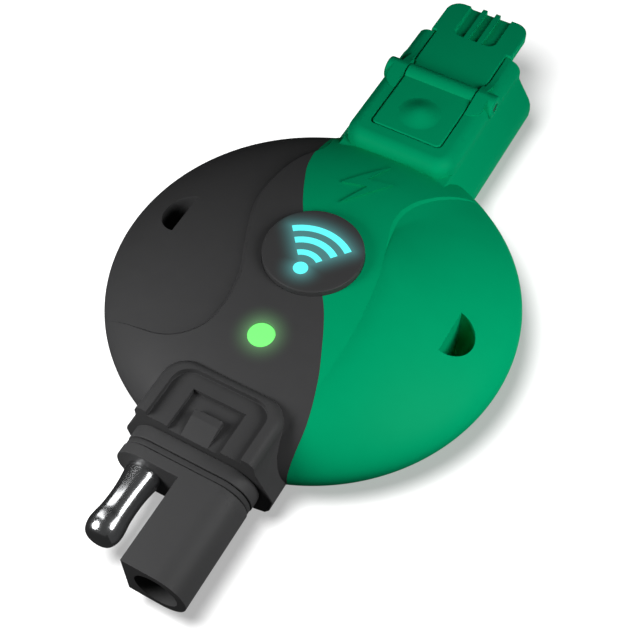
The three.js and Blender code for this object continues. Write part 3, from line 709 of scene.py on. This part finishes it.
barrel = at_hinge(turned([(0, -PAD_WIDTH), (BARREL, -PAD_WIDTH), (BARREL, PAD_WIDTH),
                          (0, PAD_WIDTH)], 72, "X"))
cut(barrel, solid(cube(-9, 9, 30, 45, 10, 14.25)))
hook = prism([(52.6, 14.8), (52.6, 13.6), (53.2, 13.6), (54.8, 14.8)], -3, 3, "X")
lever = join(solid(pad), barrel, solid(tongue), solid(paddle), solid(hook))

# soft thumb rise, three grooves with two ribs that stand proud of the tip, and the pin's hole
fall = [THUMB_RISE / 2 * (1 + math.cos(math.pi * i / 24)) for i in range(25)]
bell = [(THUMB_R * i / 24, PAD_TOP - 0.03 + height) for i, height in enumerate(fall)]
thumb_rise = turned([*bell, (THUMB_R, 15.6), (0, 15.6)], 96)
bmesh.ops.translate(thumb_rise, vec=(0, THUMB_Y, 0), verts=thumb_rise.verts)
join(lever, solid(thumb_rise))
cut(lever, solid(cube(-0.72, 0.72, GROOVE_START, LONG, GROOVE_FLOOR, 20)))
for side in (-1, 1):
    groove = cube(*sorted((side * 1.5, side * 3.5)), GROOVE_START, LONG, GROOVE_FLOOR, 20)
    rounded(groove, lambda p, run: near(p.x, side * 3.5) and near(p.y, GROOVE_START), 1.3, 8)
    rounded(groove, lambda p, run: near(p.z, GROOVE_FLOOR) and abs(p.x) > 1.6 and p.y < 59.9,
            0.45, 5)
    cut(lever, solid(groove))
    rib = cube(*sorted((side * 0.73, side * 1.49)), 56, RIB_END, LEVER_UNDER + 0.25, LEVER_TOP - 0.01)
    join(lever, solid(rounded(rib, lambda p, run: near(p.y, RIB_END), 0.06, 2)))
cut(lever, at_hinge(turned([(0, -12), (0.72, -12), (0.72, 12), (0, 12)], 32, "X")))
lever = finished(lever, "latch", green_plastic)
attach(lever, "latch")
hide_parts("latch_lever")

axle = at_hinge(turned([(0, -8.78), (0.5, -8.78), (0.6, -8.68), (0.6, 8.68), (0.5, 8.78),
                        (0, 8.78)], 32, "X"))
axle = finished(axle, "latch_axle", plated_steel)
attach(axle, "case")
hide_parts("latch_pin")

# ---------------------------------------------------------------- button
# A round push button in soft satin grey, with the wireless sign let through it as a clear
# light guide. The sign is lit from below, and the little light it spills on the cap is painted there
# as emission.

BUTTON_R, SIGN_Y, SIGN_HALF = 6.82, -3.35, math.radians(39)
SIGN_DOT, SIGN_ARCS = 1.0, [(2.15, 3.05), (4.2, 5.2), (6.2, 7.2)]
CROWN = [(0, 18.68), (2, 18.675), (4, 18.66), (6.0, 18.65), (6.62, 18.63), (6.76, 18.57),
         (6.81, 18.45), (BUTTON_R, 18.2)]
crown = [(abs(p.x), p.y) for p in smooth_line(CROWN, 56)]


def arc_plan(inner, outer):
    """Plan of one of the sign's arcs."""
    turn = [math.pi / 2 - SIGN_HALF + 2 * SIGN_HALF * i / 32 for i in range(33)]
    around = [(outer, a) for a in turn] + [(inner, a) for a in reversed(turn)]
    return [(r * math.cos(a), SIGN_Y + r * math.sin(a)) for r, a in around]


def sign(low, high):
    """The whole sign, a dot and three arcs, as one upright solid."""
    parts = [solid(prism(arc_plan(*arc), low, high)) for arc in SIGN_ARCS]
    return join(solid(disc(SIGN_DOT, low, high, 0, SIGN_Y, 48)), *parts)


cap = solid(turned([*crown, (BUTTON_R, 13.6), (8.4, 13.6), (8.4, 12.9), (5.9, 12.9), (5.9, 16.2),
                    (0, 16.2)], 128))
cut(cap, sign(15, 20))
cap.data.transform(Matrix.Translation((BUTTON_X, BUTTON_Y, 0)))
button_plastic = Finish("button_plastic", Specular_IOR_Level=0.15)
button_plastic.wear((0.058, 0.058, 0.059), 0.03, 0.5, 0.06, 0.06)
cap = finished(cap, "button_cap", button_plastic, 32)
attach(cap, "button")
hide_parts("wireless_button")

flush = [(r, height - 0.012) for r, height in crown]
guide = shared(sign(15.5, 20), solid(turned([*flush, (BUTTON_R, 15), (0, 15)], 128)))
join(guide, solid(disc(5.55, 14.9, 15.9)), solid(disc(1.7, 13.4, 15)))
guide.data.transform(Matrix.Translation((BUTTON_X, BUTTON_Y, 0)))
sign_light = Finish("lit_cyan_guide", Roughness=0.4, Specular_IOR_Level=0.2)
shimmer = sign_light.noise(2600, 2)
sign_light.show(Base_Color=sign_light.blend(shimmer, (0.04, 0.3, 0.3), (0.05, 0.34, 0.34)),
                Emission_Color=sign_light.blend(shimmer, (0.125, 0.96, 0.96), (0.135, 1, 1)),
                Emission_Strength=0.95)
guide = finished(guide, "button_sign", sign_light)
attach(guide, "button")
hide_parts("button_light_guide")

# painted glow on the cap: the sign's spill of light painted as a cyan emission, strongest between the
# arcs, fading outwards from the fan they fill
fan_point = (BUTTON_X / 1000, (BUTTON_Y + SIGN_Y) / 1000, 0)
spot = button_plastic.node("ShaderNodeVectorMath", {"operation": "SUBTRACT"},
                           (button_plastic.place, fan_point))
spot = button_plastic.node("ShaderNodeVectorMath", {"operation": "MULTIPLY"}, (spot, (1000, 1000, 0)))
span = button_plastic.node("ShaderNodeVectorMath", {"operation": "LENGTH"}, (spot,), 1)
across = button_plastic.node("ShaderNodeSeparateXYZ", None, (spot,))
along = Reading(button_plastic, across.socket.node.outputs["Y"])
beside = across.sum("ABSOLUTE", across) * math.cos(SIGN_HALF) - along * math.sin(SIGN_HALF)
beside = across.sum("MAXIMUM", beside, 0)
beyond = across.sum("MAXIMUM", span - SIGN_ARCS[-1][1], 0)
fan = (beside * beside + beyond * beyond) ** 0.5
outside = across.sum("MAXIMUM", across.sum("MINIMUM", fan, span - SIGN_DOT), 0)
spill = across.sum("MAXIMUM", 1 - outside * (1 / 2.9), 0) ** 2.6
button_plastic.show(Emission_Color=button_plastic.blend(spill, (0, 0, 0), (0.045, 0.2, 0.2)),
                    Emission_Strength=1.0)

# ---------------------------------------------------------------- status light
# A round light pipe, flush with the grey plastic, that carries the green light up from the
# board.

lens_top = [(0, 17.0), (1.0, 16.97), (1.6, 16.88), (1.74, 16.8), (LENS_R, 16.68)]
pipe = turned([*lens_top, (LENS_R, 13.7), (2.4, 13.7), (2.4, 13.1), (1.6, 13.1), (1.6, 11),
               (0, 11)], 64)
bmesh.ops.translate(pipe, vec=(0, LENS_Y, 0), verts=pipe.verts)
green_light = Finish("lit_green_guide", Roughness=0.35, Specular_IOR_Level=0.2)
shimmer = green_light.noise(2600, 2)
green_light.show(Base_Color=green_light.blend(shimmer, (0.05, 0.3, 0.05), (0.06, 0.34, 0.06)),
                 Emission_Color=green_light.blend(shimmer, (0.215, 0.97, 0.215), (0.225, 1, 0.225)),
                 Emission_Strength=0.95)
pipe = finished(solid(pipe), "status_light", green_light)
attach(pipe, "case")
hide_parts("status_lens")

# ---------------------------------------------------------------- inside the case
# The circuit board with its parts, the gasket, the latch's leaf spring and the button's
# seal, plunger and switch, none of which show when the pod is closed.

black_rubber = Finish("black_rubber").wear((0.02, 0.02, 0.02), 0.1, 0.7, 0.1, 0.1)
board_green = Finish("board_lacquer", Coat_Weight=0.3).wear((0.012, 0.12, 0.05), 0.12, 0.4, 0.1, 0.05)
chip_epoxy = Finish("chip_epoxy").wear((0.018, 0.018, 0.02), 0.1, 0.55, 0.1, 0.12)
tin_can = Finish("drawn_can", Metallic=1.0).wear((0.6, 0.61, 0.62), 0.05, 0.35, 0.1, 0.05)
cream_moulding = Finish("cream_moulding").wear((0.78, 0.73, 0.58), 0.04, 0.5, 0.08, 0.06)
bare_copper = Finish("bare_copper", Metallic=1.0).wear((0.72, 0.4, 0.24), 0.1, 0.35, 0.12, 0.05)
INSIDE = {
    black_rubber: ["base_gasket", "button_seal"],
    board_green: ["circuit_board"],
    chip_epoxy: ["tact_switch", "controller_chip", "power_transistor_1", "power_transistor_2",
                 "inductor"],
    tin_can: ["wireless_module", "capacitor_1", "capacitor_2"],
    cream_moulding: ["switch_plunger", "status_led", "wireless_led_1", "wireless_led_2", "fuse"],
    bare_copper: ["plug_bus_bar_left", "plug_bus_bar_right", "socket_bus_bar_left",
                  "socket_bus_bar_right"],
    plated_steel: ["latch_spring"],
}
for finish, nodes in INSIDE.items():
    for node in nodes:
        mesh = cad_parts[node].data
        mesh.materials.clear()
        mesh.materials.append(finish.material)

# ---------------------------------------------------------------- camera, floor and light

TURN, LOOK_DOWN = math.radians(29.34), math.radians(55.29)
camera = bpy.data.objects.new("camera", bpy.data.cameras.new("camera"))
camera.data.sensor_width, camera.data.lens = 36, 36 * 1227.3 / 640
camera.location = (0.04924, -0.08574, 0.14591)
camera.rotation_euler = (math.pi / 2 - LOOK_DOWN, 0, TURN)
bpy.context.scene.collection.objects.link(camera)
bpy.context.scene.camera = camera

floor_sheet = bmesh.new()
bmesh.ops.create_grid(floor_sheet, x_segments=1, y_segments=1, size=60000)
floor = solid(floor_sheet)
floor.name = "floor"
floor.data.transform(Matrix.Scale(0.001, 4))
paper = Finish("white_floor", Base_Color=(0.3, 0.3, 0.3, 1), Roughness=0.9, Emission_Strength=1.0)
reach = paper.node("ShaderNodeVectorMath", {"operation": "LENGTH"}, (paper.place,), 1)
outer = paper.node("ShaderNodeMapRange", None, {0: reach, 1: 0.06, 2: 0.14, 3: 0.0, 4: 1.0})
paper.show(Emission_Color=paper.blend(outer, (0.42, 0.42, 0.42), (0.97, 0.97, 0.97)))
floor.data.materials.append(paper.material)

scene = bpy.context.scene
scene.view_settings.view_transform = "Standard"
world = bpy.data.worlds.new("studio")
world.use_nodes = True

# a faint glow from all round, behind the same white that the camera sees
sky = world.node_tree
sky.nodes["Background"].inputs["Color"].default_value = (1, 1, 1, 1)
seen = sky.nodes.new("ShaderNodeLightPath")
strength = sky.nodes.new("ShaderNodeMath")
strength.operation = "MULTIPLY_ADD"
strength.inputs[1].default_value, strength.inputs[2].default_value = 0.97, 0.03
sky.links.new(seen.outputs["Is Camera Ray"], strength.inputs[0])
sky.links.new(strength.outputs[0], sky.nodes["Background"].inputs["Strength"])
scene.world = world

# the floor takes its soft shadow from a lamp of its own, and throws no light back
floor.visible_diffuse = floor.visible_glossy = floor.visible_shadow = False
groups = {}
for name, piece, state in (("floor_only", floor, "INCLUDE"), ("floor_out", floor, "EXCLUDE"),
                           ("bullet_only", bullet, "INCLUDE")):
    groups[name] = bpy.data.collections.new(name)
    groups[name].objects.link(piece)
    groups[name].collection_objects[0].light_linking.link_state = state


def lamp(name, kind, place, energy, lights, **size):
    """A lamp at a place, facing the middle; a sun shines from there on everything alike."""
    light = bpy.data.objects.new(name, bpy.data.lights.new(name, kind))
    light.data.energy, light.location = energy, place
    for key, value in size.items():
        setattr(light.data, key, value)
    light.rotation_euler = light.location.to_track_quat("Z", "Y").to_euler()
    light.light_linking.receiver_collection = groups[lights]
    bpy.context.scene.collection.objects.link(light)
    return light


lamp("overhead", "POINT", (-0.0068, -0.0593, 0.164), 4.6, "floor_only", shadow_soft_size=0.04)

# the pod has a key light, a fill and two soft ones from below and behind
lamp("key", "POINT", (0.084, -0.006, 0.073), 0.288, "floor_out", shadow_soft_size=0.034)
lamp("fill", "POINT", (-0.045, -0.064, 0.055), 0.186, "floor_out", shadow_soft_size=0.02)
for name, place, energy in (("under_right", (0.24, 0.7, -0.67), 2.67),
                            ("under_left", (-0.62, 0.45, -0.64), 1.6)):
    under = lamp(name, "SUN", place, energy, "floor_out", angle=math.radians(40))
    under.visible_glossy = False

# a dim card and a narrow strip that show only in the polished bullet
lamp("card", "AREA", (0.0, -0.1, 0.3), 0.06, "bullet_only", size=0.7)
strip = lamp("strip", "AREA", (-0.12, 0.02, 0.12), 0.03, "bullet_only", shape="RECTANGLE",
             size=0.15, size_y=0.022)
across, away = Vector((0.62, -0.05, 0.66)).normalized(), Vector((-0.65, 0.36, 0.62)).normalized()
strip.location = Vector((-0.005, -0.04, 0.009)) + away * 0.16
strip.rotation_euler = Matrix((across, away.cross(across).normalized(), away)).transposed().to_euler()
